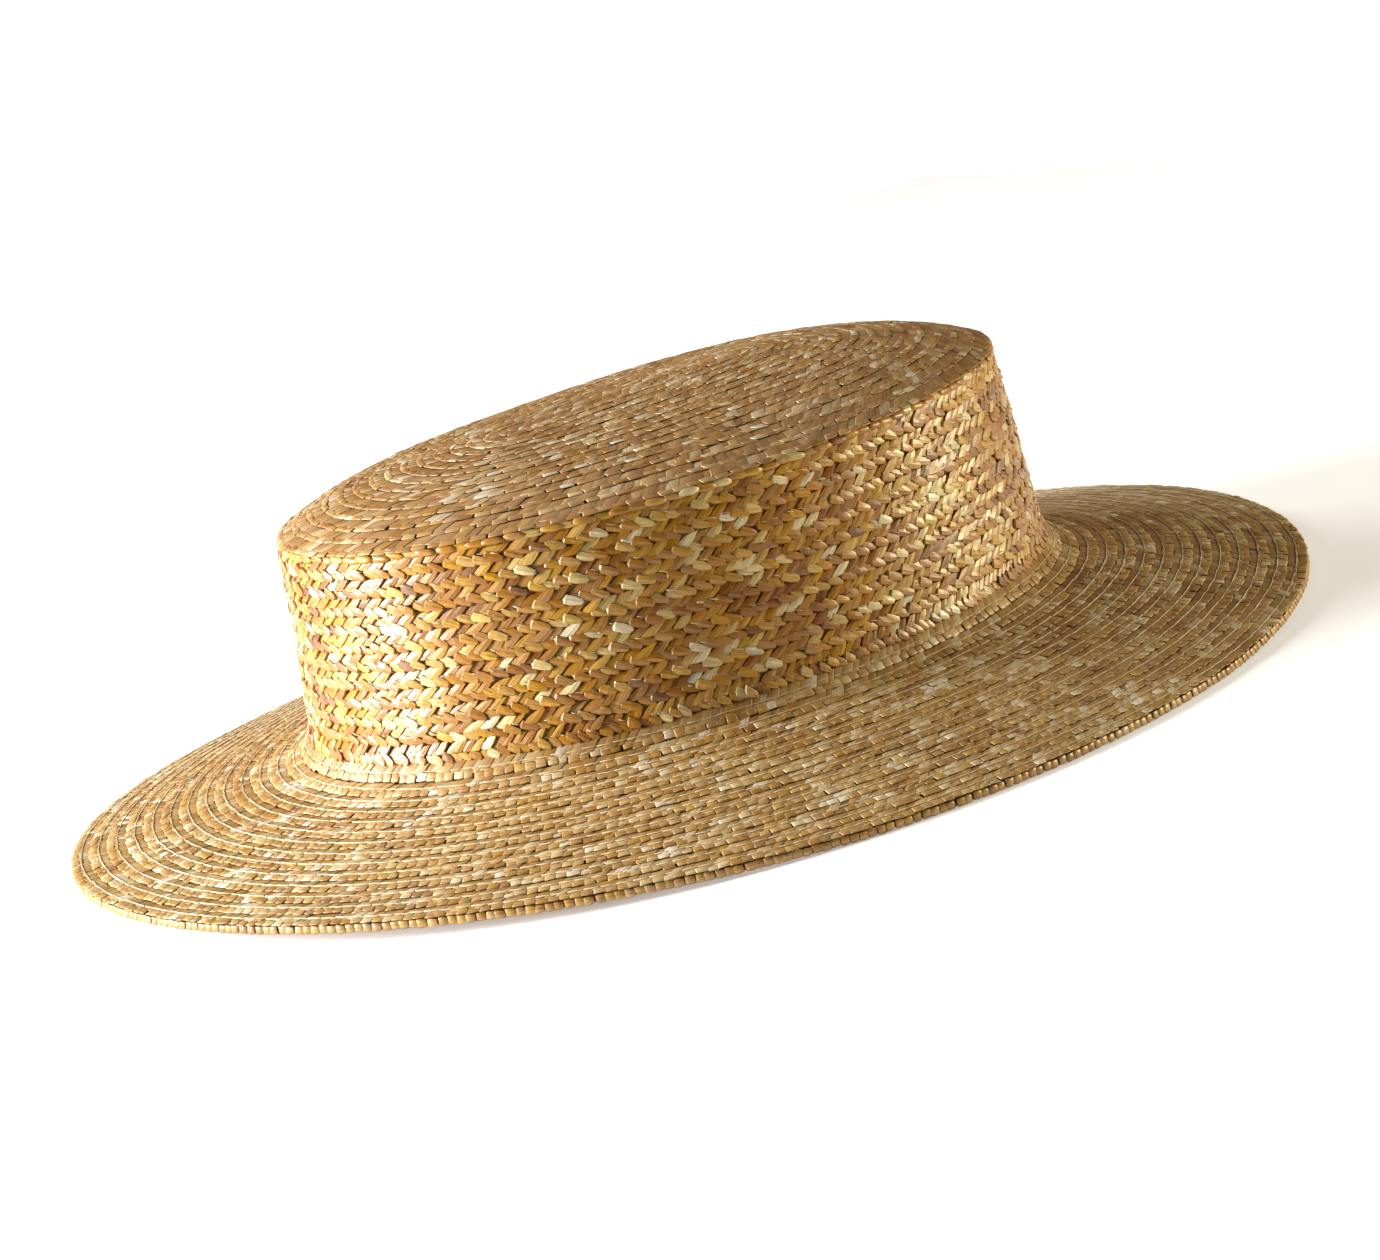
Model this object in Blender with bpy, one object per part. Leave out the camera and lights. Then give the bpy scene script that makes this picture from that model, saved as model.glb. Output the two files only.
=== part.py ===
"""Straw boater: an oval hat sewn from one long straw plait, row lapped over row.

The crown is low, with a gently domed tip and a side that spreads a little towards the head. A small
cove turns the side into the brim, which falls to its edge on every side, more at the two flanks
than at the ends. Four solids, each seated on the next:

  crown_tip    the domed top, seated on the top of the side
  crown_side   the wall and the cove, whose last row laps over the brim
  brim         the brim, tucked under the cove's last row
  brim_edge    the second plait sewn under the brim's edge, which the hat rests on

Every cross-section, seen from above, is an ellipse, so each solid is a section carried round an
oval. The outer faces step down at each row of plait, because every row lies over the next one out.
Metres, +Z up, +X along the length of the head, z = 0 at the surface that the hat rests on.
"""

import math
from typing import NamedTuple

import bmesh
import bpy

# The crown: heights are above the brim's plane at the crown's foot
TIP_HALF_LENGTH = 0.0998
TIP_HALF_WIDTH = 0.0716
TIP_RISE = 0.0117
CROWN_HEIGHT = 0.0540
FOOT_HALF_LENGTH = 0.1020
FOOT_HALF_WIDTH = 0.0774
COVE_RADIUS = 0.0084

# The first turn of plait is laid flat on itself, in a straight line this long each way
TIP_CORE = 0.0357

# The brim: its width beyond the crown's foot, its fall at the flanks and how much less at the ends
BRIM_WIDTH = 0.0646
RIM_DROP = 0.0146
RIM_LIFT = 0.0044
LEVEL_ANGLE = math.radians(70)

# The plait: one thickness of it, the step where a row laps the next, and the widths that show
PLAIT_THICKNESS = 0.0010
ROW_STEP = 0.0007
TIP_PITCH = 0.0048
SIDE_PITCH = 0.0045
BRIM_PITCH = 0.0047

# Where pieces meet
CLEARANCE = 0.0003
TIP_LIP = 0.0009
TIP_SEAT = 0.0024
BRIM_LAP = 0.0030

# The edge plait under the brim
EDGE_WIDTH = 0.0046
EDGE_THICKNESS = 0.0012
EDGE_PROUD = 0.0004
EDGE_BEVEL = 0.0006

# The dome is part cone, part flat top with a round shoulder
CONE_SHARE = 0.56
CONE_POWER = 1.38
SHOULDER_POWER = 4.4

SEGMENTS = 48

SIDE_THICKNESS = TIP_LIP + PLAIT_THICKNESS
TIP_THICKNESS = PLAIT_THICKNESS + ROW_STEP
LAP_DEPTH = PLAIT_THICKNESS + CLEARANCE
BRIM_THICKNESS = 2 * PLAIT_THICKNESS
EDGE_DEPTH = LAP_DEPTH + EDGE_THICKNESS
FOOT_HEIGHT = RIM_DROP + EDGE_DEPTH
LAP_TURN = BRIM_LAP / COVE_RADIUS
QUARTER_TURN = math.pi / 2


class Station(NamedTuple):
    """One level of a section: an ellipse, its height, and its share of the brim's fall."""

    half_length: float
    half_width: float
    height: float
    fall: float = 0.0


def mix(start, end, share):
    """Return the value that lies the given share of the way from start to end."""
    return start + (end - start) * share


def row_count(length, pitch):
    """Return how many whole rows of plait cover a length."""
    return max(2, round(length / pitch))


def rim_drop(angle):
    """Return the brim's fall at an angle: level along both flanks, less towards the ends."""
    level = math.cos(LEVEL_ANGLE) ** 2
    rise = max(0.0, (math.cos(angle) ** 2 - level) / (1.0 - level))
    return RIM_DROP - RIM_LIFT * rise


def dome(share):
    """Return the dome's height above its edge, from 1 at the edge to 0 at the centre line."""
    cone = 1.0 - share ** CONE_POWER
    top = 1.0 - share ** SHOULDER_POWER
    return TIP_RISE * mix(top, cone, CONE_SHARE)


def tip_station(share, offset, dome_share=None):
    """Return a level of the tip: share 0 is the straight first turn, 1 the tip's edge."""
    rise = dome(share if dome_share is None else dome_share)
    return Station(mix(TIP_CORE, TIP_HALF_LENGTH, share), TIP_HALF_WIDTH * share,
                   CROWN_HEIGHT + rise + offset)


def side_station(share, offset, top):
    """Return a level of the wall: share 0 is its top, 1 the start of the cove."""
    return Station(mix(TIP_HALF_LENGTH, FOOT_HALF_LENGTH, share) + offset,
                   mix(TIP_HALF_WIDTH, FOOT_HALF_WIDTH, share) + offset,
                   mix(top, COVE_RADIUS, share))


def cove_station(turn, offset):
    """Return a level of the cove: turn 0 is upright, a quarter turn is the brim's start."""
    radius = COVE_RADIUS - offset
    reach = COVE_RADIUS - radius * math.cos(turn)
    height = COVE_RADIUS - radius * math.sin(turn)
    return Station(FOOT_HALF_LENGTH + reach, FOOT_HALF_WIDTH + reach, height, reach / BRIM_WIDTH)


def brim_station(reach, offset, fall=None):
    """Return a level of the brim at a distance out from the crown's foot."""
    return Station(FOOT_HALF_LENGTH + reach, FOOT_HALF_WIDTH + reach, offset,
                   reach / BRIM_WIDTH if fall is None else fall)


def lapped_rows(place, start, end, rows, first_step=ROW_STEP):
    """Return the outer stations of rows that each rise to their outer edge and step down."""
    stations = []
    for row in range(rows):
        step = first_step if row == 0 else ROW_STEP
        stations.append(place(mix(start, end, row / rows), -step))
        stations.append(place(mix(start, end, (row + 1) / rows), 0.0))
    return stations


def even_places(start, end, count):
    """Return evenly spaced values from start to end, both included."""
    return [mix(start, end, index / (count - 1)) for index in range(count)]


def ring_points(station):
    """Return the points of a station's ellipse, lowered by its share of the brim's fall."""
    points = []
    for index in range(SEGMENTS):
        angle = 2.0 * math.pi * index / SEGMENTS
        points.append((station.half_length * math.cos(angle), station.half_width * math.sin(angle),
                       FOOT_HEIGHT + station.height - station.fall * rim_drop(angle)))
    return points


def loft(name, stations, material, closed):
    """Carry a section round the oval and return the solid.

    A closed section ends where it began, and an open one is capped at both ends.
    """
    mesh = bmesh.new()
    rings = [[mesh.verts.new(point) for point in ring_points(station)] for station in stations]
    bands = list(zip(rings, rings[1:]))
    if closed:
        bands.append((rings[-1], rings[0]))
    else:
        mesh.faces.new(rings[0])
        mesh.faces.new(rings[-1])
    for inner, outer in bands:
        for index in range(SEGMENTS):
            after = (index + 1) % SEGMENTS
            mesh.faces.new((inner[index], inner[after], outer[after], outer[index]))
    bmesh.ops.recalc_face_normals(mesh, faces=mesh.faces)
    data = bpy.data.meshes.new(name)
    mesh.to_mesh(data)
    mesh.free()
    data.materials.append(material)
    data.shade_smooth()
    data.set_sharp_from_angle(angle=math.radians(30))
    solid = bpy.data.objects.new(name, data)
    COLLECTION.objects.link(solid)
    return solid


def crown_tip():
    """Return the tip's section: lapped rows above, a smooth face and a level seat below."""
    rows = row_count(TIP_HALF_WIDTH, TIP_PITCH)
    core = 1.0 / rows
    upper = lapped_rows(tip_station, core, 1.0, rows - 1)[1:]
    upper.insert(0, tip_station(core, 0.0))
    seat = 1.0 - TIP_SEAT / TIP_HALF_WIDTH
    lower = [tip_station(1.0, -TIP_THICKNESS)]
    for share in even_places(seat, core, 7):
        lower.append(tip_station(share, -TIP_THICKNESS, share + 1.0 - seat))
    return upper + lower


def crown_side():
    """Return the side's section: lapped rows outside down the wall and out along the cove."""
    top = CROWN_HEIGHT - TIP_THICKNESS - CLEARANCE

    def wall(share, offset):
        return side_station(share, offset, top)

    wall_rows = row_count(CROWN_HEIGHT - COVE_RADIUS, SIDE_PITCH)
    cove_rows = row_count(COVE_RADIUS * QUARTER_TURN, SIDE_PITCH)
    outer = lapped_rows(wall, 0.0, 1.0, wall_rows, TIP_LIP)
    outer += lapped_rows(cove_station, 0.0, QUARTER_TURN, cove_rows)
    lap_start = QUARTER_TURN - LAP_TURN - CLEARANCE * 2 / COVE_RADIUS
    lap = [cove_station(turn, -PLAIT_THICKNESS) for turn in even_places(QUARTER_TURN, lap_start, 3)]
    inner = [cove_station(turn, -SIDE_THICKNESS) for turn in even_places(lap_start, 0.0, 5)]
    inner += [wall(share, -SIDE_THICKNESS) for share in (0.5, 0.0)]
    return outer + lap + inner


def brim():
    """Return the brim's section: a tongue under the cove, then lapped rows out to the rim."""
    rows = row_count(BRIM_WIDTH - COVE_RADIUS, BRIM_PITCH)
    tongue_turns = even_places(QUARTER_TURN - LAP_TURN, QUARTER_TURN, 3)
    upper = [cove_station(turn, -LAP_DEPTH) for turn in tongue_turns[:-1]]
    upper += lapped_rows(brim_station, COVE_RADIUS, BRIM_WIDTH, rows, LAP_DEPTH)
    rabbet = BRIM_WIDTH + EDGE_PROUD - EDGE_WIDTH - 2 * CLEARANCE
    lower = [brim_station(BRIM_WIDTH, -PLAIT_THICKNESS), brim_station(rabbet, -PLAIT_THICKNESS),
             brim_station(rabbet, -BRIM_THICKNESS)]
    for reach in even_places(rabbet, COVE_RADIUS, 5)[1:-1]:
        lower.append(brim_station(reach, -BRIM_THICKNESS))
    tongue_depth = LAP_DEPTH + PLAIT_THICKNESS
    lower += [cove_station(turn, -tongue_depth) for turn in reversed(tongue_turns)]
    return upper + lower


def brim_edge():
    """Return the edge plait's section: its top follows the brim and its underside is level."""
    outer = BRIM_WIDTH + EDGE_PROUD
    inner = outer - EDGE_WIDTH
    return [brim_station(outer, -LAP_DEPTH - EDGE_BEVEL, 1.0),
            brim_station(outer - EDGE_BEVEL, -LAP_DEPTH),
            brim_station(inner + EDGE_BEVEL, -LAP_DEPTH),
            brim_station(inner, -LAP_DEPTH - EDGE_BEVEL),
            brim_station(inner + 2 * EDGE_BEVEL, -EDGE_DEPTH, 1.0),
            brim_station(outer - EDGE_BEVEL, -EDGE_DEPTH, 1.0)]


def straw(name, red, green, blue, roughness):
    """Return a straw material from an sRGB colour of 0 to 255 and a roughness."""
    material = bpy.data.materials.new(name)
    material.use_nodes = True
    shader = material.node_tree.nodes["Principled BSDF"]
    colour = [((channel / 255 + 0.055) / 1.055) ** 2.4 for channel in (red, green, blue)]
    shader.inputs["Base Color"].default_value = (*colour, 1.0)
    shader.inputs["Roughness"].default_value = roughness
    shader.inputs["Metallic"].default_value = 0.0
    return material


def clear_scene():
    """Remove every object, so that the model stands alone."""
    for item in list(bpy.data.objects):
        bpy.data.objects.remove(item, do_unlink=True)


clear_scene()
COLLECTION = bpy.data.collections.new("straw_boater")
bpy.context.scene.collection.children.link(COLLECTION)
loft("crown_tip", crown_tip(), straw("pressed_straw", 176, 142, 96, 0.6), closed=False)
loft("crown_side", crown_side(), straw("golden_straw", 201, 152, 72, 0.5), closed=True)
loft("brim", brim(), straw("sewn_straw", 190, 158, 104, 0.55), closed=True)
loft("brim_edge", brim_edge(), straw("edge_straw", 186, 136, 66, 0.5), closed=True)
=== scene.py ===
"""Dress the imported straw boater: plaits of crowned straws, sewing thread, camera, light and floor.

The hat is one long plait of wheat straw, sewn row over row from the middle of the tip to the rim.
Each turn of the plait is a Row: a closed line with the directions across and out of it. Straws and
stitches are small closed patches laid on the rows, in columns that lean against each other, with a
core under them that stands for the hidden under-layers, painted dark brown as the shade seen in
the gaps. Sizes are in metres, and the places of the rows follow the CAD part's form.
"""

import logging
import math
from dataclasses import dataclass, replace
from enum import Enum
from typing import NamedTuple

import bpy
import numpy as np
from mathutils import Matrix, Vector


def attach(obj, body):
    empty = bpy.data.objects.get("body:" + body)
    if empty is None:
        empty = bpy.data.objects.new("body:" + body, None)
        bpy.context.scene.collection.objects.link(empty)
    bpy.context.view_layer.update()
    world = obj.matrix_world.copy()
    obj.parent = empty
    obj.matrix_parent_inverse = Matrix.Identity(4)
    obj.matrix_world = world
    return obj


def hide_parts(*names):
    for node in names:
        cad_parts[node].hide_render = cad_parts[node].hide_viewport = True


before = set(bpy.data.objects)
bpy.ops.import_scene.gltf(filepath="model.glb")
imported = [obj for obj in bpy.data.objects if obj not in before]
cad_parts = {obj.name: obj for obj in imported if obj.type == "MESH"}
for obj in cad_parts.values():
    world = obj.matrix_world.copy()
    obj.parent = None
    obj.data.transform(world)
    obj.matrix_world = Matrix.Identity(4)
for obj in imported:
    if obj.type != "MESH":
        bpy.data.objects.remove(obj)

LOG = logging.getLogger("boater")
IMAGE_WIDTH = 1380
IMAGE_HEIGHT = 1260
BODY = "root"
MILLIMETRE = 0.001


class Side(Enum):
    """The side of a row that a column of straws is laid on."""

    OUTSIDE = 1
    INSIDE = -1


@dataclass(frozen=True)
class HatForm:
    """The driving sizes of the hat, the same as in the CAD part."""

    tip_half_length: float = 0.0998
    tip_half_width: float = 0.0716
    tip_rise: float = 0.0117
    tip_core: float = 0.0357
    tip_rows: int = 15
    crown_height: float = 0.0540
    foot_half_length: float = 0.1020
    foot_half_width: float = 0.0774
    cove_radius: float = 0.0084
    side_rows: int = 10
    cove_rows: int = 3
    brim_width: float = 0.0646
    brim_rows: int = 12
    rim_drop: float = 0.0146
    rim_lift: float = 0.0044
    level_angle: float = math.radians(70.0)
    row_step: float = 0.0007
    side_thickness: float = 0.0019
    tip_thickness: float = 0.0017
    brim_thickness: float = 0.0020
    edge_depth: float = 0.0025
    cone_share: float = 0.56
    cone_power: float = 1.38
    shoulder_power: float = 4.4

    @property
    def foot_height(self) -> float:
        """Return the height of the brim's plane at the crown's foot."""
        return self.rim_drop + self.edge_depth


class Level(NamedTuple):
    """One closed line round the hat: an oval, its height and its share of the brim's fall."""

    half_length: float
    half_width: float
    height: float
    fall: float = 0.0
    straight: float = 0.0
    roundness: float = 1.0


def mix(start, end, share):
    """Return the value that lies the given share of the way from start to end."""
    return start + (end - start) * share


def oval(half_length: float, half_width: float, facing: np.ndarray) -> np.ndarray:
    """Return the points of an ellipse whose normals face the given directions.

    Each point is (a a cos f, b b sin f) divided by the ellipse's reach in direction f.
    """
    ax, ay = half_length * np.cos(facing), half_width * np.sin(facing)
    reach = np.hypot(ax, ay) + 1e-9
    return np.stack([half_length * ax / reach, half_width * ay / reach], -1)


@dataclass(frozen=True)
class HatSurface:
    """The outer face of the hat as levels, each worked out from the form."""

    form: HatForm
    samples: int = 2048

    def facings(self) -> np.ndarray:
        """Return the directions that the points of a level face, both ends of each flank included."""
        half = np.linspace(-math.pi / 2 + 1e-4, math.pi / 2 - 1e-4, self.samples // 2)
        return np.concatenate([half, half + math.pi])

    def dome(self, share: float) -> float:
        """Return the tip's rise above its edge, part cone and part flat top with a round shoulder."""
        form = self.form
        share = min(share, 1.0)
        cone = 1.0 - share ** form.cone_power
        top = 1.0 - share ** form.shoulder_power
        return form.tip_rise * mix(top, cone, form.cone_share)

    def tip(self, share: float) -> Level:
        """Return a level of the tip, from 0 at the first straight turn to 1 at its edge."""
        form = self.form
        return Level(mix(form.tip_core, form.tip_half_length, share), form.tip_half_width * share,
                     form.crown_height + self.dome(share), 0.0, form.tip_core, min(share, 1.0))

    def side(self, share: float, top: float) -> Level:
        """Return a level of the wall, from 0 at its top to 1 at the start of the cove."""
        form = self.form
        return Level(mix(form.tip_half_length, form.foot_half_length, share),
                     mix(form.tip_half_width, form.foot_half_width, share),
                     mix(top, form.cove_radius, share))

    def cove(self, share: float) -> Level:
        """Return a level of the cove, a quarter turn from upright to the brim's start."""
        form = self.form
        turn = share * math.pi / 2
        reach = form.cove_radius * (1.0 - math.cos(turn))
        return Level(form.foot_half_length + reach, form.foot_half_width + reach,
                     form.cove_radius * (1.0 - math.sin(turn)), reach / form.brim_width)

    def brim(self, reach: float, height: float = 0.0) -> Level:
        """Return a level of the brim at a distance out from the crown's foot."""
        form = self.form
        return Level(form.foot_half_length + reach, form.foot_half_width + reach, height,
                     reach / form.brim_width)

    def points(self, level: Level) -> np.ndarray:
        """Return a level's points.

        The tip's inner levels are a straight run with oval ends, mixed with the full oval by the
        level's roundness. The brim's fall is rim_drop less rim_lift towards the ends of the head.
        """
        facing = self.facings()
        plan = oval(level.half_length, level.half_width, facing)
        if level.roundness < 1.0:
            ends = oval(level.half_length - level.straight, level.half_width, facing)
            ends[:, 0] += level.straight * np.sign(np.cos(facing))
            plan = mix(ends, plan, level.roundness)
        height = np.full(len(facing), self.form.foot_height + level.height)
        if level.fall:
            x, y = plan[:, 0] / level.half_length, plan[:, 1] / level.half_width
            cosine = x * x / (x * x + y * y)
            flat = math.cos(self.form.level_angle) ** 2
            rise = np.clip((cosine - flat) / (1.0 - flat), 0.0, None)
            height -= level.fall * (self.form.rim_drop - self.form.rim_lift * rise)
        return np.column_stack([plan, height])

    def row(self, inner: Level, outer: Level, samples: int = 1400) -> "Row":
        """Return the row of plait between two levels, resampled evenly along its middle line."""
        first, second = self.points(inner), self.points(outer)
        middle = (first + second) / 2
        closed = np.vstack([middle, middle[:1]])
        far = np.concatenate([[0.0], np.cumsum(np.linalg.norm(np.diff(closed, axis=0), axis=1))])
        even = np.linspace(0.0, far[-1], samples, endpoint=False)
        spans = np.vstack([second - first, (second - first)[:1]])

        def resampled(values: np.ndarray) -> np.ndarray:
            return np.column_stack([np.interp(even, far, values[:, axis]) for axis in range(3)])

        line, across = resampled(closed), resampled(spans)
        along = np.roll(line, -2, axis=0) - np.roll(line, 2, axis=0)
        out = np.cross(across, along)
        out /= np.linalg.norm(out, axis=1, keepdims=True)
        return Row(line, across, out, float(far[-1]))


@dataclass(frozen=True)
class Row:
    """One turn of plait: a closed middle line, the span across it and the direction out of it."""

    line: np.ndarray
    across: np.ndarray
    out: np.ndarray
    length: float

    @property
    def width(self) -> float:
        """Return the row's mean width."""
        return float(np.linalg.norm(self.across, axis=1).mean())

    def turned(self, depth: float) -> "Row":
        """Return the row's other side, at a depth below this one and facing the other way."""
        line = self.line - self.out * depth
        return Row(line[::-1], self.across[::-1], -self.out[::-1], self.length)

    def place(self, along: np.ndarray, across: np.ndarray, out: np.ndarray) -> np.ndarray:
        """Return points at distances along the row, shares across it and heights out of it."""
        count = len(self.line)
        position = (along / self.length) % 1.0 * count
        first = np.minimum(position.astype(int), count - 1)
        second = (first + 1) % count
        part = (position - first)[..., None]

        def between(values: np.ndarray) -> np.ndarray:
            return values[first] * (1.0 - part) + values[second] * part

        return between(self.line) + between(self.across) * across[..., None] \
            + between(self.out) * out[..., None]


@dataclass(frozen=True)
class Patch:
    """The grid that one straw or stitch is made of: its places along and across."""

    along: tuple[float, ...]
    across: tuple[float, ...]

    def counts(self) -> tuple[int, int]:
        """Return how many points the grid has each way."""
        return len(self.along), len(self.across)

    def loops(self) -> tuple[np.ndarray, np.ndarray]:
        """Return the vertex indices of the top's faces, and of the one face under them."""
        rows, columns = self.counts()
        index = np.arange(rows * columns).reshape(rows, columns)
        top = np.stack([index[:-1, :-1], index[:-1, 1:], index[1:, 1:], index[1:, :-1]], -1)
        under = np.concatenate([index[:, 0], index[-1, 1:], index[-2::-1, -1], index[0, -2:0:-1]])
        return top.reshape(-1, 4), under


FULL_PATCH = Patch((0.0, 0.08, 0.32, 0.68, 0.92, 1.0), (-1.0, -0.74, 0.0, 0.74, 1.0))
FACET_PATCH = Patch((0.0, 0.1, 0.5, 0.9, 1.0), (-1.0, -0.82, 0.1, 0.84, 1.0))
BRICK_PATCH = Patch((0.0, 0.1, 0.45, 0.9, 1.0), (-1.0, -0.7, 0.7, 1.0))
FLAT_PATCH = Patch((0.0, 0.08, 0.92, 1.0), (-1.0, -0.86, 0.86, 1.0))
BACK_PATCH = Patch((0.0, 0.5, 1.0), (-1.0, 0.0, 1.0))
STITCH_PATCH = Patch((0.0, 0.15, 0.85, 1.0), (-1.0, 0.0, 1.0))


class Corner(NamedTuple):
    """A corner of a straw's cell: metres along the row, a share across it, and metres out."""

    along: float
    across: float
    out: float


@dataclass(frozen=True)
class Column:
    """One column of straws in a row of plait.

    A cell has four corners, two at the straw's start and two at its end. Shares across run from
    -0.5 at the row's inner or upper edge to 0.5 at its outer or lower edge.
    """

    spacing: float
    start_above: Corner
    start_below: Corner
    end_below: Corner
    end_above: Corner
    crown: float
    start_point: float = 0.3
    end_point: float = 0.3
    skirt: float = 0.0005
    shift: float = 0.0
    jitter: float = 1.0
    warp: float = 0.00004
    patch: Patch = FULL_PATCH

    def narrowed(self, share: float) -> "Column":
        """Return the column with its straws closer together along the row by a share."""
        names = ("start_above", "start_below", "end_below", "end_above")
        closer = {name: Corner(corner.along * share, corner.across, corner.out * share)
                  for name, corner in zip(names, (getattr(self, name) for name in names))}
        return replace(self, spacing=self.spacing * share, crown=self.crown * 0.8, **closer)

    def corners(self) -> np.ndarray:
        """Return the corners as an array."""
        return np.array([self.start_above, self.start_below, self.end_below, self.end_above])


@dataclass
class Straws:
    """Many patches of one kind, as whole arrays."""

    patch: Patch
    points: np.ndarray
    tone: np.ndarray
    dull: np.ndarray
    grain: np.ndarray

    @staticmethod
    def joined(parts: list["Straws"]) -> "Straws":
        """Return several batches of the same patch as one."""
        return Straws(parts[0].patch, np.concatenate([p.points for p in parts]),
                      np.concatenate([p.tone for p in parts]),
                      np.concatenate([p.dull for p in parts]),
                      np.concatenate([p.grain for p in parts]))


@dataclass(frozen=True)
class Palette:
    """How a column's straws vary in tone, from 0 for the darkest to 1 for near white."""

    middle: float = 0.5
    spread: float = 0.12
    pale_share: float = 0.08
    patch_length: float = 0.012
    patch_spread: float = 0.08
    dull: float = 0.5
    dull_spread: float = 0.25


def lay_straws(row: Row, column: Column, palette: Palette, wave: np.ndarray,
               rng: np.random.Generator) -> Straws:
    """Lay one column of straws along a row.

    With u along a straw and v across it, v is drawn in by one less the end's point times u u |u|,
    so that the cell is shaped like a leaf, and u is drawn in a little at the cell's sides. The
    point is then placed between the cell's four corners, which each stray a little. Its height is
    the corners' height there, plus the crown times (1 - v^4)(1 - 0.5 u u), less the skirt all
    round the edge, which is hidden between its neighbours.

    Args:
        row: the turn of plait.
        column: the straws' cells.
        palette: how the straws vary in tone.
        wave: the row's slow changes of tone and dullness, shared by all its columns.
        rng: the source of chance.

    Returns:
        The straws as whole arrays.
    """
    count = max(6, round(row.length / column.spacing))
    step = row.length / count
    u, v = np.meshgrid(2.0 * np.array(column.patch.along) - 1.0, column.patch.across, indexing="ij")
    near = u * (1.0 - 0.12 * v * v)
    over = v * (1.0 - np.where(u < 0.0, column.start_point, column.end_point) * np.abs(u) ** 3)
    shares = np.stack([(1 - near) * (1 - over), (1 - near) * (1 + over),
                       (1 + near) * (1 + over), (1 + near) * (1 - over)]) / 4.0
    stray = rng.normal(size=(count, 4, 3)).clip(-2.0, 2.0) * column.jitter
    stray += 1.2 * rng.normal(size=(count, 1, 3)).clip(-2.0, 2.0) * column.jitter
    reach = (0.05 * column.spacing, 0.022, column.warp)
    corners = column.corners() * (step / column.spacing, 1.0, 1.0) + stray * reach
    placed = np.einsum("kij,nkc->nijc", shares, corners)
    bulge = column.crown * (1.0 + 0.22 * rng.normal(size=(count, 1, 1)).clip(-2.0, 2.0))
    edge = (np.abs(v) > 0.99) | (np.abs(u) > 0.99)
    height = placed[..., 2] + bulge * (1.0 - v ** 4) * (1.0 - 0.5 * u * u)
    height -= column.skirt * edge
    centre = (np.arange(count) + column.shift)[:, None, None] * step
    points = row.place(centre + placed[..., 0], placed[..., 1], height)

    places = (np.arange(count) + column.shift) / count * wave.shape[1]
    slow = [np.interp(places, np.arange(wave.shape[1]), each, period=wave.shape[1])
            for each in wave]
    tone = rng.normal(palette.middle, palette.spread, count) + slow[0] * palette.patch_spread
    pale = rng.random(count) < palette.pale_share
    tone = np.where(pale, rng.uniform(0.74, 0.96, count), tone).clip(0.0, 1.0)
    dull = rng.normal(palette.dull, palette.dull_spread, count) + slow[1] * palette.patch_spread
    length = np.linalg.norm(points[:, -1].mean(1) - points[:, 0].mean(1), axis=1)
    width = np.linalg.norm(points[:, :, -1].mean(1) - points[:, :, 0].mean(1), axis=1)
    offset = rng.uniform(0.0, 40.0, (2, count, 1, 1))
    grain = np.stack([u / 2 * length[:, None, None] / MILLIMETRE + offset[0],
                      v / 2 * width[:, None, None] / MILLIMETRE + offset[1]], -1)
    return Straws(column.patch, points, tone, dull.clip(0.0, 1.0), grain)


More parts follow.
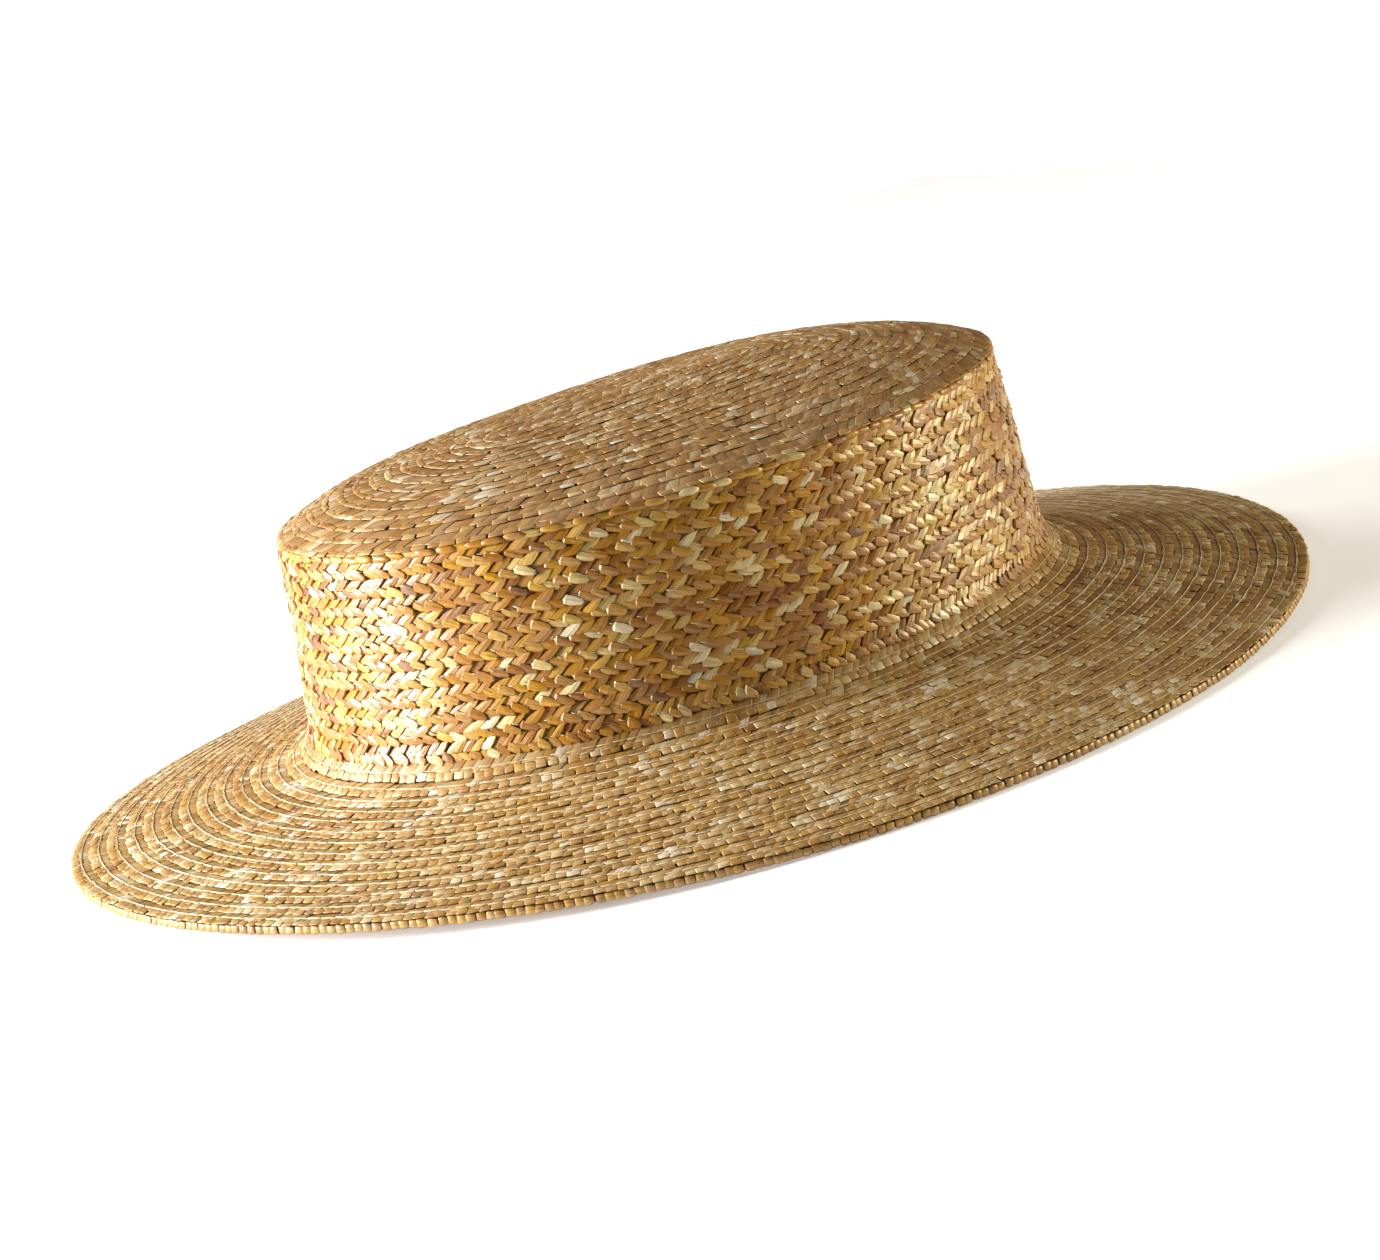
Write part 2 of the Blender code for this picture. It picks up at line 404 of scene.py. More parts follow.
def straw_mesh(name: str, straws: Straws, far_edge_and_shade: float = 1.0,
               smooth_tops: bool = True) -> bpy.types.Object:
    """Join a batch of straws into one mesh, with tone, edge, grain and bake maps.

    Each straw has its own cell in the bake map: the top fills most of it, and the face under it
    is a thin strip below.

    Args:
        name: the piece's name.
        straws: the straws to join.
        far_edge_and_shade: how strongly a straw's far side counts as an edge, where 1 is as the near side.
        smooth_tops: whether the tops are round to the eye, or flat facets as on creased straw.

    Returns:
        The piece.
    """
    total = len(straws.points)
    rows, columns = straws.patch.counts()
    size = rows * columns
    top, under = straws.patch.loops()
    shift = (np.arange(total) * size)[:, None]
    one = np.concatenate([top.ravel(), under])
    corners = (one[None, :] + shift).ravel()
    per = len(one)
    faces = len(top) + 1
    starts = np.concatenate([np.arange(len(top)) * 4, [len(top) * 4]])
    starts = (starts[None, :] + (np.arange(total) * per)[:, None]).ravel()
    mesh = bpy.data.meshes.new(name)
    mesh.vertices.add(total * size)
    mesh.vertices.foreach_set("co", straws.points.astype(np.float32).ravel())
    mesh.loops.add(total * per)
    mesh.loops.foreach_set("vertex_index", corners.astype(np.int32))
    mesh.polygons.add(total * faces)
    mesh.polygons.foreach_set("loop_start", starts.astype(np.int32))
    smooth = np.full((total, faces), smooth_tops)
    smooth[:, -1] = False
    mesh.polygons.foreach_set("use_smooth", smooth.ravel())
    mesh.update(calc_edges=True)

    u, v = np.meshgrid(straws.patch.along, straws.patch.across, indexing="ij")
    # The edge map marks each straw's outline, where its material paints a darker brown: partly the
    # straw's own edge, partly painted shade for the gaps between straws.
    edge = np.maximum(np.where(v > 0.0, far_edge_and_shade * v, -v), np.abs(2.0 * u - 1.0) ** 3)
    tone = mesh.attributes.new("tone", "FLOAT", "POINT")
    tone.data.foreach_set("value", np.repeat(straws.tone, size).astype(np.float32))
    dull = mesh.attributes.new("dull", "FLOAT", "POINT")
    dull.data.foreach_set("value", np.repeat(straws.dull, size).astype(np.float32))
    rim = mesh.attributes.new("edge", "FLOAT", "POINT")
    rim.data.foreach_set("value", np.tile(edge.ravel(), total).astype(np.float32))

    grain = mesh.uv_layers.new(name="Grain")
    flat = straws.grain.reshape(total * size, 2)[corners]
    grain.data.foreach_set("uv", flat.astype(np.float32).ravel())

    side = math.ceil(math.sqrt(total))
    cell = np.stack([np.arange(total) % side, np.arange(total) // side], -1) / side
    local = np.stack([u.ravel(), (v.ravel() + 1.0) / 2.0], -1)
    spots = np.concatenate([0.06 + 0.88 * local[top.ravel()] * (1.0, 0.9) + (0.0, 0.08),
                            0.06 + local[under] * (0.88, 0.05) - (0.0, 0.03)])
    atlas = mesh.uv_layers.new(name="OFBake")
    spread = cell[:, None, :] + spots[None, :, :] / side
    atlas.data.foreach_set("uv", spread.astype(np.float32).ravel())
    grain.active = True
    made = bpy.data.objects.new(name, mesh)
    bpy.context.scene.collection.objects.link(made)
    LOG.info("%s: %d straws, %d triangles", name, total, total * (2 * len(top) + len(under) - 2))
    return made


def core_mesh(name: str, rings: list[np.ndarray], closed: bool) -> bpy.types.Object:
    """Join rings of points, each a closed line, into one closed surface.

    A closed section ends where it began, and an open one is capped at both ends.
    """
    count = len(rings[0])
    points = np.concatenate(rings)
    index = np.arange(len(points)).reshape(len(rings), count)
    if closed:
        index = np.vstack([index, index[:1]])
    after = np.roll(index, -1, axis=1)
    quads = np.stack([index[:-1], after[:-1], after[1:], index[1:]], -1).reshape(-1, 4)
    faces = quads.tolist()
    if not closed:
        faces += [index[0, ::-1].tolist(), index[-1].tolist()]
    mesh = bpy.data.meshes.new(name)
    mesh.from_pydata(points.tolist(), [], faces)
    mesh.update(calc_edges=True)
    mesh.shade_smooth()
    mesh.set_sharp_from_angle(angle=math.radians(40))
    made = bpy.data.objects.new(name, mesh)
    bpy.context.scene.collection.objects.link(made)
    LOG.info("%s: %d triangles", name, sum(len(face) - 2 for face in faces))
    return made


def linear(colour: str) -> tuple[float, float, float, float]:
    """Return an sRGB hex colour as linear RGBA."""
    parts = [int(colour[i:i + 2], 16) / 255 for i in (1, 3, 5)]
    return (*[p / 12.92 if p <= 0.04045 else ((p + 0.055) / 1.055) ** 2.4 for p in parts], 1.0)


def add(tree: bpy.types.NodeTree, kind: str, settings: dict | None = None,
        inputs: dict | None = None) -> bpy.types.Node:
    """Add a node with its settings, and set or link its inputs."""
    node = tree.nodes.new(kind)
    for key, value in (settings or {}).items():
        setattr(node, key, value)
    for key, value in (inputs or {}).items():
        if isinstance(value, bpy.types.NodeSocket):
            tree.links.new(value, node.inputs[key])
        else:
            node.inputs[key].default_value = value
    return node


def new_material(name: str) -> tuple[bpy.types.Material, bpy.types.NodeTree, bpy.types.Node]:
    """Return an empty material with its Principled shader and output."""
    material = bpy.data.materials.new(name)
    material.use_nodes = True
    tree = material.node_tree
    tree.nodes.clear()
    shader = tree.nodes.new("ShaderNodeBsdfPrincipled")
    output = tree.nodes.new("ShaderNodeOutputMaterial")
    tree.links.new(shader.outputs["BSDF"], output.inputs["Surface"])
    return material, tree, shader


@dataclass(frozen=True)
class StrawFinish:
    """Wheat straw: a hard, waxy skin with fine fibres along it, and a tone of its own each.

    To the eye it is a satin golden strip with a soft highlight along its crown, and darker brown
    round its edges, partly its own browner cut and folded edges and partly painted shade for the
    gaps between straws. Fibres are about 0.15 mm apart and are drawn at 0.5 mm to show.
    """

    name: str
    stops: tuple[tuple[float, str], ...]
    edge_and_shade_colour: str
    roughness: float
    coat: float
    bump: float
    edge_and_shade_share: float = 0.6
    gloss: float = 0.7
    fibre_spacing: float = 0.5
    blotch_size: float = 0.03

    def build(self) -> bpy.types.Material:
        """Make the material."""
        material, tree, shader = new_material(self.name)
        tone = add(tree, "ShaderNodeAttribute", {"attribute_name": "tone"}).outputs["Fac"]
        place = add(tree, "ShaderNodeTexCoord").outputs["Object"]
        blotch = add(tree, "ShaderNodeTexNoise", None,
                     {"Vector": place, "Scale": 1.0 / self.blotch_size, "Detail": 2.0})
        shifted = add(tree, "ShaderNodeMath", {"operation": "MULTIPLY_ADD"},
                      {0: blotch.outputs["Fac"], 1: 0.16, 2: tone})
        centred = add(tree, "ShaderNodeMath", {"operation": "SUBTRACT"},
                      {0: shifted.outputs[0], 1: 0.08})
        ramp = add(tree, "ShaderNodeValToRGB", None, {"Fac": centred.outputs[0]})
        band = ramp.color_ramp
        while len(band.elements) < len(self.stops):
            band.elements.new(0.5)
        for element, (position, colour) in zip(band.elements, self.stops):
            element.position = position
            element.color = linear(colour)

        grain = add(tree, "ShaderNodeUVMap", {"uv_map": "Grain"}).outputs["UV"]
        drawn = add(tree, "ShaderNodeMapping", None,
                    {"Vector": grain, "Scale": (0.16, 1.0 / self.fibre_spacing, 1.0)})
        fibres = add(tree, "ShaderNodeTexNoise", None,
                     {"Vector": drawn.outputs[0], "Scale": 1.0, "Detail": 3.0, "Roughness": 0.6})
        streak = add(tree, "ShaderNodeMapRange", None,
                     {"Value": fibres.outputs["Fac"], "From Min": 0.3, "From Max": 0.7,
                      "To Min": 0.6, "To Max": 1.3})
        streaked = add(tree, "ShaderNodeVectorMath", {"operation": "SCALE"},
                       {0: ramp.outputs["Color"], "Scale": streak.outputs[0]})
        dull = add(tree, "ShaderNodeAttribute", {"attribute_name": "dull"}).outputs["Fac"]
        richness = add(tree, "ShaderNodeMapRange", None,
                       {"Value": dull, "To Min": 1.06, "To Max": 0.9})
        aged = add(tree, "ShaderNodeHueSaturation", None,
                   {"Saturation": richness.outputs[0], "Color": streaked.outputs[0]})
        # Darker brown round each straw's outline, from the edge map: partly the straw's own browner cut
        # and folded edges, partly painted shade for the gaps between straws.
        edge = add(tree, "ShaderNodeAttribute", {"attribute_name": "edge"}).outputs["Fac"]
        rim = add(tree, "ShaderNodeMapRange", None,
                  {"Value": edge, "From Min": 0.76, "From Max": 1.0, "To Min": 0.0,
                   "To Max": self.edge_and_shade_share})
        coloured = add(tree, "ShaderNodeMix", {"data_type": "RGBA"},
                       {"Factor": rim.outputs[0], 6: aged.outputs[0],
                        7: linear(self.edge_and_shade_colour)})
        relief = add(tree, "ShaderNodeBump", None,
                     {"Height": fibres.outputs["Fac"], "Strength": self.bump,
                      "Distance": 0.15 * MILLIMETRE})
        tree.links.new(coloured.outputs[2], shader.inputs["Base Color"])
        tree.links.new(relief.outputs[0], shader.inputs["Normal"])
        shader.inputs["Roughness"].default_value = self.roughness
        shader.inputs["Coat Weight"].default_value = self.coat
        shader.inputs["Coat Roughness"].default_value = 0.22
        shader.inputs["IOR"].default_value = 1.5
        shader.inputs["Specular IOR Level"].default_value = self.gloss
        return material


@dataclass(frozen=True)
class PlainFinish:
    """A matt finish of one colour with a faint mottle."""

    name: str
    colour: str
    shade: str
    roughness: float
    mottle_size: float
    light: float = 0.0

    def build(self) -> bpy.types.Material:
        """Make the material."""
        material, tree, shader = new_material(self.name)
        place = add(tree, "ShaderNodeTexCoord").outputs["Object"]
        noise = add(tree, "ShaderNodeTexNoise", None,
                    {"Vector": place, "Scale": 1.0 / self.mottle_size, "Detail": 2.0})
        tint = add(tree, "ShaderNodeMix", {"data_type": "RGBA"},
                   {"Factor": noise.outputs["Fac"], 6: linear(self.shade), 7: linear(self.colour)})
        tree.links.new(tint.outputs[2], shader.inputs["Base Color"])
        shader.inputs["Roughness"].default_value = self.roughness
        shader.inputs["Emission Color"].default_value = linear(self.colour)
        shader.inputs["Emission Strength"].default_value = self.light
        return material


GOLDEN_STRAW = StrawFinish(
    "wheat_straw_plaited",
    ((0.0, "#6C3C06"), (0.22, "#8E570C"), (0.45, "#AA7216"), (0.68, "#C0902F"), (0.84, "#D4B870"),
     (1.0, "#E6DABC")), "#3A2003", 0.4, 0.18, 0.5, 0.75, 0.55)
PRESSED_STRAW = StrawFinish(
    "wheat_straw_pressed",
    ((0.0, "#7C4F1E"), (0.22, "#95672C"), (0.45, "#A8793C"), (0.68, "#BA9054"), (0.84, "#CFB284"),
     (1.0, "#E2D4BC")), "#5E3B14", 0.46, 0.08, 0.3, 0.38, 0.8)
SEWN_STRAW = StrawFinish(
    "wheat_straw_pressed_sewn",
    ((0.0, "#7A4E18"), (0.22, "#966A2B"), (0.45, "#AA7F3C"), (0.68, "#BC9758"), (0.84, "#D0B788"),
     (1.0, "#E4D8C2")), "#5E3B14", 0.46, 0.08, 0.3, 0.38, 0.8)
EDGE_STRAW = StrawFinish(
    "wheat_straw_folded",
    ((0.0, "#784C12"), (0.25, "#9E6E26"), (0.5, "#B08338"), (0.75, "#C09A54"), (1.0, "#D8C294")),
    "#4B2F07", 0.45, 0.2, 0.3)
# The core stands for the plait's hidden under-layers; its dark browns are painted shade for the gaps
# between the straws.
SHADED_CORE_STRAW = PlainFinish("wheat_straw_shaded", "#8A5F2C", "#6B451A", 0.8, 0.004)
THREAD = PlainFinish("cotton_thread_spun", "#DCCBAC", "#C4AD86", 0.75, 0.0012)
FLOOR_PAINT = PlainFinish("studio_floor_lit_acrylic", "#FBFBFB", "#FAFAFA", 0.9, 0.5, 0.35)


def dress(piece: bpy.types.Object, material: bpy.types.Material, slot: str,
          *nodes: str) -> bpy.types.Object:
    """Give a piece its material and its body, and hide the CAD nodes it stands for."""
    piece.data.materials.append(material)
    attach(piece, BODY)
    if nodes:
        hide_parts(*nodes)
    return piece


@dataclass(frozen=True)
class Finishes:
    """The hat's materials, made once."""

    golden: bpy.types.Material
    pressed: bpy.types.Material
    sewn: bpy.types.Material
    edge: bpy.types.Material
    core: bpy.types.Material
    thread: bpy.types.Material

    @staticmethod
    def make() -> "Finishes":
        """Build every material of the hat."""
        return Finishes(GOLDEN_STRAW.build(), PRESSED_STRAW.build(), SEWN_STRAW.build(),
                        EDGE_STRAW.build(), SHADED_CORE_STRAW.build(), THREAD.build())


def even_rows(surface: HatSurface, place, start: float, end: float, count: int) -> list[Row]:
    """Return rows of plait between evenly spaced levels."""
    steps = [mix(start, end, index / count) for index in range(count + 1)]
    return [surface.row(place(a), place(b)) for a, b in zip(steps, steps[1:])]


def batch(rows: list[Row], column: Column, palette: Palette, seed: int) -> Straws:
    """Lay a column of straws on every row, each row with its own chance shift and tones."""
    return paired(rows, [column], [palette], seed)[0]


def paired(rows: list[Row], columns: list[Column], palettes: list[Palette],
           seed: int) -> list[Straws]:
    """Lay several columns on every row, with the same chance shift for all columns of a row."""
    rng = np.random.default_rng(seed)
    shifts = rng.random(len(rows)) * 3.0
    waves = [rng.normal(size=(2, max(4, round(row.length / palettes[0].patch_length))))
             for row in rows]
    made = []
    for column, palette in zip(columns, palettes):
        parts = [lay_straws(row, replace(column, shift=column.shift + shift), palette, wave, rng)
                 for row, shift, wave in zip(rows, shifts, waves)]
        made.append(Straws.joined(parts))
    return made


def core_rings(surface: HatSurface, levels: list[Level], depth: float,
               every: int = 8) -> list[np.ndarray]:
    """Return the rings of a core at a depth under the levels, measured along the face's normal."""
    rings = []
    for index, level in enumerate(levels):
        before, after = levels[max(index - 1, 0)], levels[min(index + 1, len(levels) - 1)]
        row = surface.points(after) - surface.points(before)
        here = surface.points(level)
        along = np.roll(here, -1, axis=0) - np.roll(here, 1, axis=0)
        out = np.cross(row, along)
        out /= np.linalg.norm(out, axis=1, keepdims=True)
        rings.append((here - out * depth)[::every])
    return rings


@dataclass(frozen=True)
class CrownTip:
    """The domed tip: pressed rows of plait from a straight first turn out to the edge."""

    surface: HatSurface
    band: Column = Column(
        0.0030, Corner(-0.0027, 0.24, -0.00013), Corner(0.0012, 0.24, -0.00007),
        Corner(0.0040, -0.56, -0.00022), Corner(0.0000, -0.56, -0.00028), 0.00002, 0.0, 0.0,
        0.00008, patch=FLAT_PATCH)
    edge: Column = Column(
        0.0036, Corner(-0.0019, 0.06, -0.00009), Corner(-0.0020, 0.52, -0.00006),
        Corner(0.0020, 0.53, -0.00008), Corner(0.0021, 0.08, -0.00010), 0.00006, 0.08, 0.14,
        0.00010, shift=0.5, patch=BRICK_PATCH)
    back: Column = Column(
        0.0032, Corner(-0.0019, -0.55, -0.0001), Corner(-0.0015, 0.50, -0.0002),
        Corner(0.0019, 0.50, -0.0003), Corner(0.0015, -0.55, -0.0002), 0.0003, 0.1, 0.1,
        patch=BACK_PATCH)

    def rows(self) -> list[Row]:
        """Return the tip's rows, from the middle to the edge."""
        form = self.surface.form
        return even_rows(self.surface, self.surface.tip, 0.0, 1.0, form.tip_rows)

    def build(self, finishes: Finishes) -> None:
        """Build and dress the tip's pieces."""
        form, surface, rows = self.surface.form, self.surface, self.rows()
        band, edge = paired(rows, [self.band, self.edge],
                            [Palette(0.54, 0.10, 0.09, 0.006, 0.12)] * 2, 11)
        dress(straw_mesh("tip_band_straws", band), finishes.pressed, "pressed_straw")
        dress(straw_mesh("tip_edge_straws", edge), finishes.pressed, "pressed_straw")
        under = [row.turned(form.tip_thickness) for row in rows]
        back = batch(under, self.back, Palette(0.5, 0.12, 0.05), 12)
        dress(straw_mesh("tip_back_straws", back), finishes.pressed, "pressed_straw")
        steps = np.linspace(0.02, 0.995, form.tip_rows + 2)
        upper = [surface.tip(float(share)) for share in steps]
        rings = core_rings(surface, upper, 0.00048)
        lower = core_rings(surface, upper, form.tip_thickness - 0.0003)[::-1]
        dress(core_mesh("tip_core", rings + lower, closed=False), finishes.core, "pressed_straw",
              "crown_tip")


@dataclass(frozen=True)
class CrownSide:
    """The wall and the cove: the crowned plait, its thread, and its back."""

    surface: HatSurface
    lip: Column = Column(
        0.0042, Corner(-0.0022, -0.52, -0.0001), Corner(-0.0032, 0.30, 0.0001),
        Corner(0.0027, 0.62, 0.0002), Corner(0.0033, -0.30, -0.0001), 0.00028, 0.30, 0.65,
        jitter=1.4, warp=0.0001)
    upper: Column = Column(
        0.0035, Corner(-0.0037, 0.12, -0.00026), Corner(0.0003, 0.22, 0.00002),
        Corner(0.0042, -0.56, -0.00008), Corner(0.0002, -0.52, -0.00048), 0.00026, 0.16, 0.34,
        0.0004, jitter=1.4, warp=0.00010, patch=FACET_PATCH)
    lower: Column = Column(
        0.0035, Corner(-0.0015, -0.20, -0.00004), Corner(-0.0029, 0.36, 0.00004),
        Corner(0.0021, 0.74, 0.00018), Corner(0.0028, 0.30, -0.00004), 0.00027, 0.16, 0.48,
        0.0004, shift=0.5, jitter=1.4, warp=0.00010, patch=FACET_PATCH)
    back: Column = Column(
        0.0035, Corner(-0.0021, -0.55, -0.0001), Corner(-0.0017, 0.50, -0.0002),
        Corner(0.0021, 0.50, -0.0003), Corner(0.0017, -0.55, -0.0002), 0.0003, 0.1, 0.1,
        patch=BACK_PATCH)
    thread: Column = Column(
        0.0035, Corner(-0.0012, -0.02, 0.00030), Corner(-0.0011, 0.04, 0.00026),
        Corner(0.0011, 0.20, 0.00026), Corner(0.0010, 0.14, 0.00030), 0.0001, 0.3, 0.3, 0.0004,
        shift=0.2, jitter=2.0, patch=STITCH_PATCH)

    def top(self) -> float:
        """Return the height of the wall's first row above the crown's foot."""
        return self.surface.form.crown_height - 0.0012

    def wall_rows(self) -> list[Row]:
        """Return the wall's rows, from the top down."""
        return even_rows(self.surface, lambda share: self.surface.side(share, self.top()),
                         0.0, 1.0, self.surface.form.side_rows)

    def cove_rows(self) -> list[Row]:
        """Return the cove's rows, from the wall out to the brim."""
        return even_rows(self.surface, self.surface.cove, 0.0, 1.0, self.surface.form.cove_rows)

    def build(self, finishes: Finishes) -> None:
        """Build and dress the side's pieces."""
        form, surface = self.surface.form, self.surface
        wall, cove = self.wall_rows(), self.cove_rows()
        upper, lower = paired(wall, [self.upper, self.lower],
                              [Palette(0.48, 0.13, 0.11)] * 2, 21)
        small = 0.68
        fine = [column.narrowed(small) for column in (self.upper, self.lower)]
        cove_upper, cove_lower = paired(cove[:1], fine, [Palette(0.46, 0.12, 0.06)] * 2, 22)
        dress(straw_mesh("side_upper_straws", Straws.joined([upper, cove_upper]), 0.84, False),
              finishes.golden, "golden_straw")
        dress(straw_mesh("side_lower_straws", Straws.joined([lower, cove_lower]), 0.84, False),
              finishes.golden, "golden_straw")
        corner = surface.row(surface.tip(0.994), Level(form.tip_half_length + 0.0002,
                                                       form.tip_half_width + 0.0002,
                                                       form.crown_height - 0.0022))
        lip = batch([corner], self.lip, Palette(0.52, 0.12, 0.08), 23)
        dress(straw_mesh("lip_straws", lip), finishes.golden, "golden_straw")
        under = [row.turned(form.side_thickness) for row in wall + cove]
        dress(straw_mesh("side_back_straws", batch(under, self.back, Palette(0.5, 0.12, 0.05), 24)),
              finishes.golden, "golden_straw")
        thread = batch(wall + cove[:1], self.thread, Palette(), 25)
        dress(straw_mesh("side_thread", thread), finishes.thread, "golden_straw")
        levels = [surface.side(share, self.top()) for share in np.linspace(0.0, 1.0, 12)[:-1]]
        levels += [surface.cove(share) for share in np.linspace(0.0, 0.98, 7)]
        outer = core_rings(surface, levels, 0.00072)
        inner = core_rings(surface, levels, form.side_thickness - 0.0004)[::-1]
        dress(core_mesh("side_core", outer + inner, closed=True), finishes.core, "golden_straw",
              "crown_side")


@dataclass(frozen=True)
class Brim:
    """The brim: pressed rows of plait, each with a line of pale thread, and a doubled edge."""

    surface: HatSurface
    band: Column = Column(
        0.0025, Corner(-0.0023, 0.22, -0.00013), Corner(0.0010, 0.22, -0.00006),
        Corner(0.0034, -0.56, -0.00022), Corner(0.0001, -0.56, -0.00029), 0.00002, 0.0, 0.0,
        0.00008, patch=FLAT_PATCH)
    edge: Column = Column(
        0.0025, Corner(-0.0014, 0.02, -0.00010), Corner(-0.0014, 0.52, -0.00006),
        Corner(0.0014, 0.53, -0.00008), Corner(0.0014, 0.02, -0.00010), 0.00006, 0.06, 0.12,
        0.00010, shift=0.5, patch=BRICK_PATCH)
    back: Column = Column(
        0.0026, Corner(-0.0016, -0.55, -0.0001), Corner(-0.0012, 0.50, -0.0002),
        Corner(0.0016, 0.50, -0.0003), Corner(0.0012, -0.55, -0.0002), 0.0002, 0.1, 0.1,
        patch=BACK_PATCH)
    thread: Column = Column(
        0.0036, Corner(-0.0022, -0.09, 0.00004), Corner(-0.0022, -0.02, 0.00004),
        Corner(0.0022, -0.02, 0.00002), Corner(0.0022, -0.09, 0.00002), 0.00012, 0.0, 0.0, 0.0003,
        patch=STITCH_PATCH, jitter=0.5)
    rim: Column = Column(
        0.0022, Corner(-0.0013, -0.45, 0.0), Corner(-0.0012, 0.50, 0.0),
        Corner(0.0012, 0.50, -0.0001), Corner(0.0013, -0.45, -0.0001), 0.00008, 0.1, 0.2, 0.0002,
        patch=BRICK_PATCH)

    def rows(self) -> list[Row]:
        """Return the brim's rows, from the cove out to the rim."""
        form = self.surface.form
        return even_rows(self.surface, self.surface.brim, form.cove_radius, form.brim_width,
                         form.brim_rows)

    def build(self, finishes: Finishes) -> None:
        """Build and dress the brim's pieces."""
        form, surface, rows = self.surface.form, self.surface, self.rows()
        pressed = CrownSide(surface).cove_rows()[1:] + rows
        band, edge = paired(pressed, [self.band, self.edge],
                            [Palette(0.55, 0.10, 0.08, 0.006, 0.13)] * 2, 31)
        dress(straw_mesh("brim_band_straws", band), finishes.sewn, "sewn_straw")
        dress(straw_mesh("brim_edge_straws", edge), finishes.sewn, "sewn_straw")
        under = [row.turned(form.brim_thickness) for row in rows]
        dress(straw_mesh("brim_back_straws", batch(under, self.back, Palette(0.5, 0.12, 0.05), 32)),
              finishes.sewn, "sewn_straw")
        dress(straw_mesh("brim_thread", batch(pressed, self.thread, Palette(), 33)),
              finishes.thread, "sewn_straw")
        levels = [surface.brim(float(reach)) for reach in
                  np.linspace(form.cove_radius * 0.9, form.brim_width - 0.0008, form.brim_rows + 2)]
        outer = core_rings(surface, levels, 0.00048)
        inner = core_rings(surface, levels, form.brim_thickness - 0.0004)[::-1]
        dress(core_mesh("brim_core", outer + inner, closed=True), finishes.core, "sewn_straw",
              "brim")
        self.build_rim(finishes)

    def build_rim(self, finishes: Finishes) -> None:
        """Build and dress the doubled edge: a plait round the rim, and its part below the brim."""
        form, surface = self.surface.form, self.surface
        width = form.brim_width
        turn = surface.row(surface.brim(width - 0.0001, -0.0002), surface.brim(width + 0.0003, -0.0022))
        below = surface.row(surface.brim(width - 0.0044), surface.brim(width)).turned(
            form.edge_depth)
        rim = Straws.joined([batch([turn], self.rim, Palette(0.5, 0.09, 0.0), 34),
                             batch([below], self.rim, Palette(0.5, 0.12, 0.05), 35)])
        dress(straw_mesh("rim_straws", rim), finishes.edge, "edge_straw")
        levels = [surface.brim(width - 0.0046, -0.0013), surface.brim(width - 0.0003, -0.0013),
                  surface.brim(width - 0.0003, -0.0021), surface.brim(width - 0.0046, -0.0021)]
        rings = [surface.points(level)[::8] for level in levels]
        dress(core_mesh("rim_core", rings, closed=True), finishes.core, "edge_straw", "brim_edge")


@dataclass(frozen=True)
class Camera:
    """The camera, fitted to the outline of the hat in the photograph."""

    azimuth: float = -34.756
    elevation: float = 13.919
    roll: float = -12.707
    distance: float = 0.9806
    pixels_per_metre: float = 3975.0
    shift_right: float = -1.8
    shift_down: float = 10.0
    sensor: float = 36.0

    def build(self, aim: Vector) -> bpy.types.Object:
        """Make the camera and aim it.

        Args:
            aim: the point that the camera turns about.

        Returns:
            The camera object, set as the scene's camera.
        """
        turn, rise = math.radians(self.azimuth), math.radians(self.elevation)
        back = Vector((math.sin(turn) * math.cos(rise), -math.cos(turn) * math.cos(rise),
                       math.sin(rise)))
        right = Vector((math.cos(turn), math.sin(turn), 0.0))
        up = back.cross(right)
        spin = Matrix.Rotation(math.radians(self.roll), 4, "Z")
        basis = Matrix((right, up, back)).transposed().to_4x4()
        data = bpy.data.cameras.new("camera")
        data.sensor_width = self.sensor
        data.lens = self.pixels_per_metre * self.distance * self.sensor / IMAGE_WIDTH
        data.shift_x = -self.shift_right / IMAGE_WIDTH
        data.shift_y = self.shift_down / IMAGE_WIDTH
        camera = bpy.data.objects.new("camera", data)
        camera.matrix_world = Matrix.Translation(aim + back * self.distance) @ basis @ spin
        bpy.context.scene.collection.objects.link(camera)
        bpy.context.scene.camera = camera
        return camera


@dataclass(frozen=True)
class Softbox:
    """A square area light that faces the hat."""

    name: str
    bearing: float
    elevation: float
    distance: float
    size: float
    power: float
    colour: str = "#FFFFFF"

    def build(self, aim: Vector, camera_azimuth: float) -> None:
        """Make the light; its bearing is in degrees to the right of the camera's."""
        turn, rise = math.radians(camera_azimuth + self.bearing), math.radians(self.elevation)
        back = Vector((math.sin(turn) * math.cos(rise), -math.cos(turn) * math.cos(rise),
                       math.sin(rise)))
        data = bpy.data.lights.new(self.name, "AREA")
        data.size = self.size
        data.energy = self.power
        data.color = linear(self.colour)[:3]
        light = bpy.data.objects.new(self.name, data)
        light.location = aim + back * self.distance
        light.rotation_mode = "QUATERNION"
        light.rotation_quaternion = back.to_track_quat("Z", "Y")
        bpy.context.scene.collection.objects.link(light)


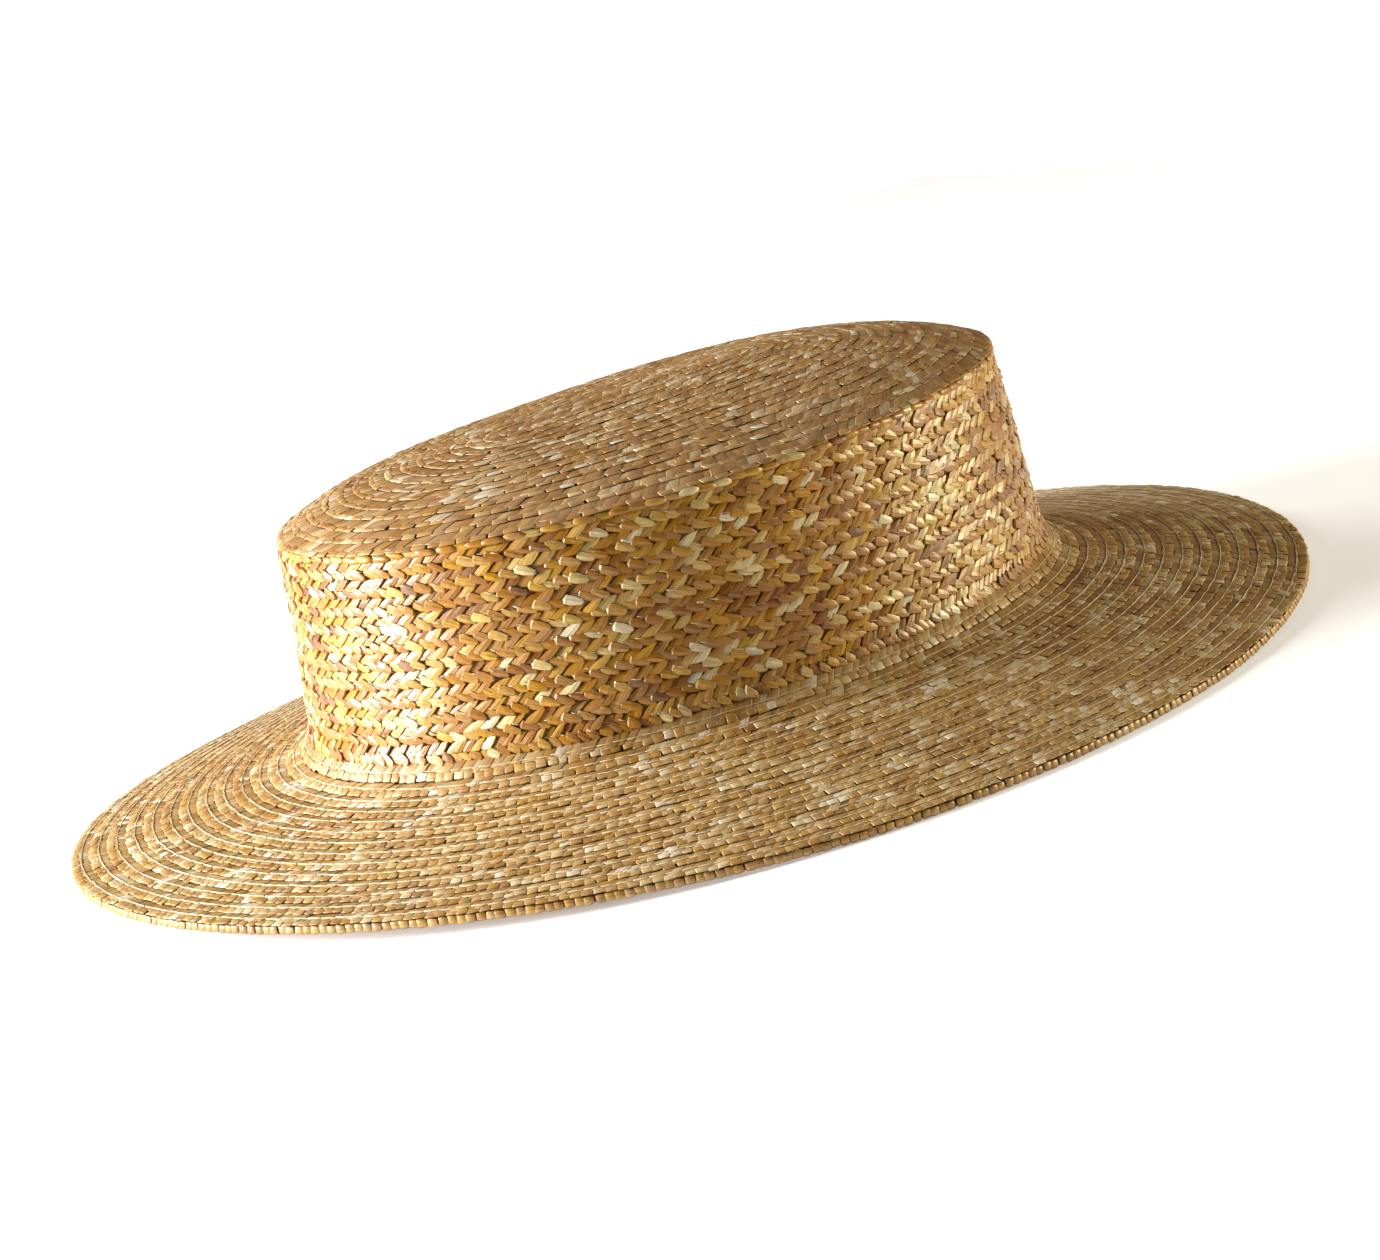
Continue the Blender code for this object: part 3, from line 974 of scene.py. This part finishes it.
@dataclass(frozen=True)
class Studio:
    """A plain pale floor, a pale surround and soft lights."""

    surround: float = 0.05
    surround_seen: float = 1.0
    floor_size: float = 1.2
    lights: tuple[Softbox, ...] = (
        Softbox("left_light", -78.0, 16.5, 1.2, 0.45, 39.0),
        Softbox("left_back_light", -112.0, 32.0, 1.2, 0.45, 9.5, "#F8F9FF"),
        Softbox("right_light", 96.0, 14.0, 1.2, 0.3, 11.5, "#FFF0C4"),
        Softbox("high_back_light", 180.0, 60.0, 1.8, 1.6, 2.2),
    )

    def build(self, camera: Camera, aim: Vector) -> None:
        """Make the floor, the surround and the lights.

        The surround is white where the camera sees it past the floor, and gives the hat little
        light, so that the lamps shape it.

        Args:
            camera: the camera, whose bearing the lamps are placed from.
            aim: the point that the lamps face.
        """
        half = self.floor_size / 2
        mesh = bpy.data.meshes.new("floor")
        mesh.from_pydata([(-half, -half, 0.0), (half, -half, 0.0), (half, half, 0.0),
                          (-half, half, 0.0)], [], [(0, 1, 2, 3)])
        floor = bpy.data.objects.new("floor", mesh)
        floor.data.materials.append(FLOOR_PAINT.build())
        bpy.context.scene.collection.objects.link(floor)
        world = bpy.data.worlds.new("studio")
        world.use_nodes = True
        tree = world.node_tree
        seen = add(tree, "ShaderNodeLightPath").outputs["Is Camera Ray"]
        strength = add(tree, "ShaderNodeMapRange", None,
                       {"Value": seen, "To Min": self.surround, "To Max": self.surround_seen})
        background = tree.nodes["Background"]
        background.inputs["Color"].default_value = linear("#FFFFFF")
        tree.links.new(strength.outputs[0], background.inputs["Strength"])
        bpy.context.scene.world = world
        for light in self.lights:
            light.build(aim, camera.azimuth)
        bpy.context.scene.view_settings.view_transform = "Standard"


def main() -> None:
    """Build the hat piece by piece, then the camera and the studio."""
    logging.basicConfig(level=logging.INFO, format="%(message)s")
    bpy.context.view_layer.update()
    form = HatForm()
    surface = HatSurface(form)
    finishes = Finishes.make()
    CrownTip(surface).build(finishes)
    CrownSide(surface).build(finishes)
    Brim(surface).build(finishes)
    aim = Vector((0.0, 0.0, form.foot_height))
    camera = Camera()
    camera.build(aim)
    Studio().build(camera, aim)


if __name__ == "__main__":
    main()
